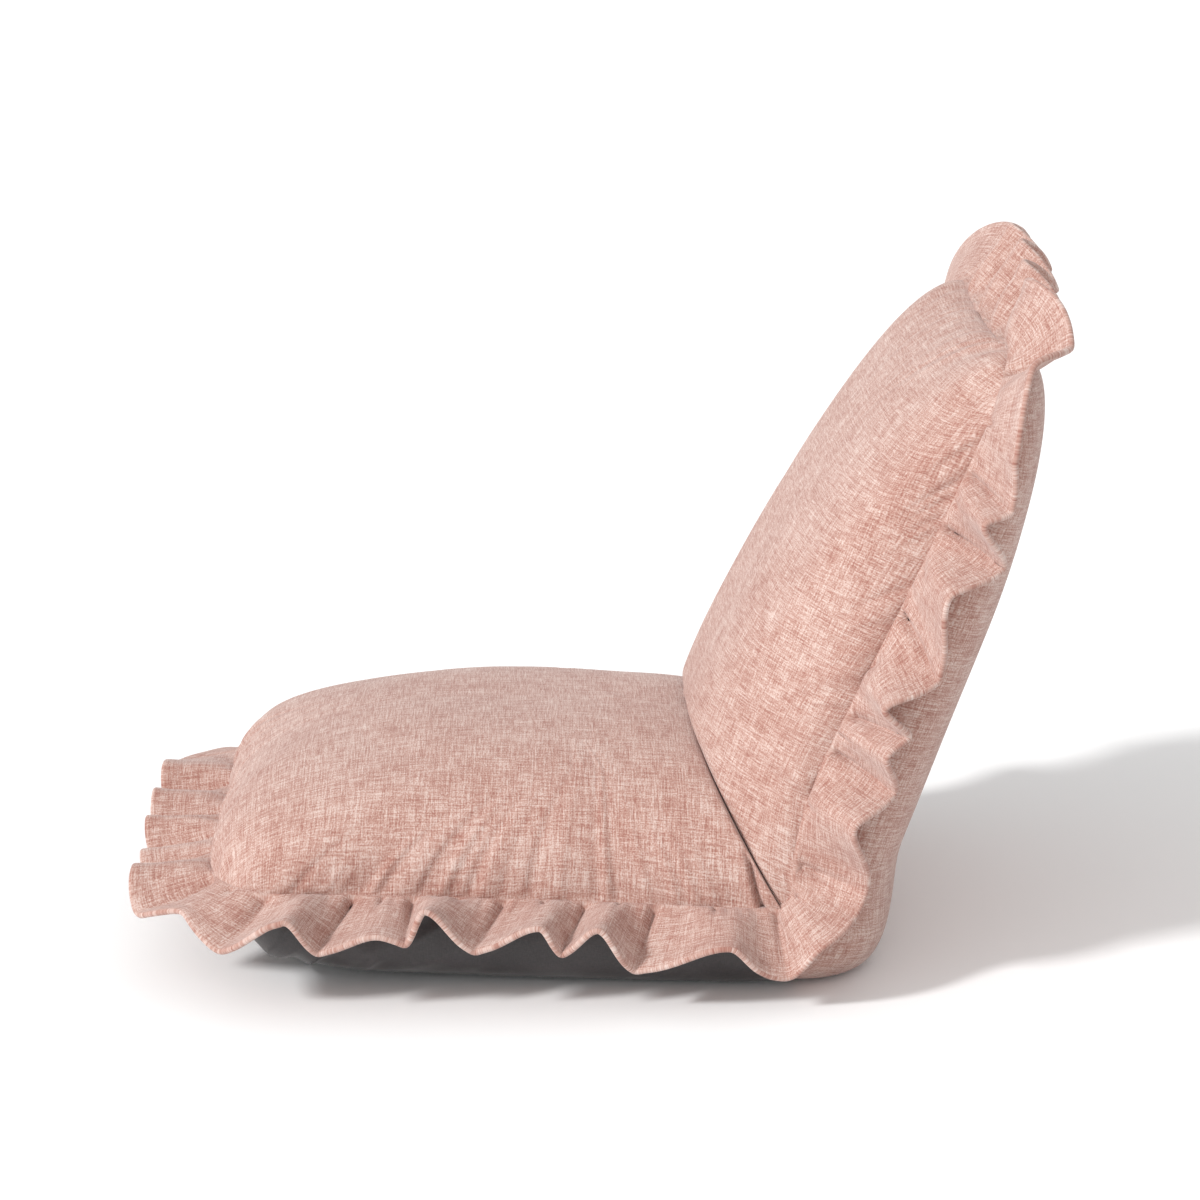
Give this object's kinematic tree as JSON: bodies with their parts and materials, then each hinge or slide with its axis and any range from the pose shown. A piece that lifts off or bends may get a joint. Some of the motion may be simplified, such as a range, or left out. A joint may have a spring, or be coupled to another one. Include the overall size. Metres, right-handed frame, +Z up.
{
  "type": "floor chair",
  "caption": "Legless padded floor chair with a reclining back on ratchet hinges and a gathered frill round its seams.",
  "frame": {"origin": "on the floor, at the middle of the seat's flat underside", "axes": "the chair faces -Y, its width lies along X, +Z is up"},
  "size_m": [0.5742, 0.8045, 0.6218],
  "materials": {
    "pink_cloth": "dusty pink slub chenille weave",
    "grey_cloth": "dark grey plain weave",
    "wadding": "white polyester wadding",
    "foam": "pale yellow open-cell foam",
    "elastic": "black ribbed elastic webbing",
    "frame_paint": "black powder coat on steel tube",
    "hinge_steel": "zinc-plated pressed steel",
    "bright_steel": "bright drawn steel"
  },
  "bodies": {
    "seat": {"seat_cover": "pink_cloth", "seat_wadding": "wadding", "seat_foam": "foam", "seat_belts": "elastic", "seat_frame": "frame_paint", "seat_cross_tube": "frame_paint", "base_wadding": "wadding", "base_cover": "grey_cloth", "seat_frill": "pink_cloth", "seat_rivets": "bright_steel", "hinge_case_outer_left": "hinge_steel", "hinge_case_outer_right": "hinge_steel", "hinge_case_inner_left": "hinge_steel", "hinge_case_inner_right": "hinge_steel", "hinge_tang_left": "hinge_steel", "hinge_tang_right": "hinge_steel", "pivot_rivet_left": "bright_steel", "pivot_rivet_right": "bright_steel", "pawl_pin_left": "bright_steel", "pawl_pin_right": "bright_steel", "pawl_spring_left": "bright_steel", "pawl_spring_right": "bright_steel"},
    "back": {"back_front_cover": "pink_cloth", "back_front_wadding": "wadding", "back_foam": "foam", "back_belts": "elastic", "back_frame": "frame_paint", "back_cross_tube": "frame_paint", "back_rear_wadding": "wadding", "back_rear_cover": "pink_cloth", "back_frill": "pink_cloth", "back_rivets": "bright_steel", "toothed_arm_left": "hinge_steel", "toothed_arm_right": "hinge_steel"},
    "pawl_left": {"pawl_left": "hinge_steel"},
    "pawl_right": {"pawl_right": "hinge_steel"}
  },
  "joints": [
    {"name": "back_recline", "type": "hinge", "parent": "seat", "child": "back", "pos_m": [0, 0.218, 0.062], "axis": [-1, 0, 0], "range_deg": [-60, 66], "deforming": ["seat_cover", "seat_wadding", "seat_frill", "back_front_cover", "back_front_wadding", "back_frill"]},
    {"name": "pawl_left_turn", "type": "hinge", "parent": "seat", "child": "pawl_left", "pos_m": [0.195, 0.181, 0.078], "axis": [1, 0, 0], "range_deg": [0, 12]},
    {"name": "pawl_right_turn", "type": "hinge", "parent": "seat", "child": "pawl_right", "pos_m": [-0.195, 0.181, 0.078], "axis": [1, 0, 0], "range_deg": [0, 12]}
  ],
  "couplings": [
    {"joint": "pawl_right_turn", "follows": "pawl_left_turn", "ratio": 1}
  ]
}
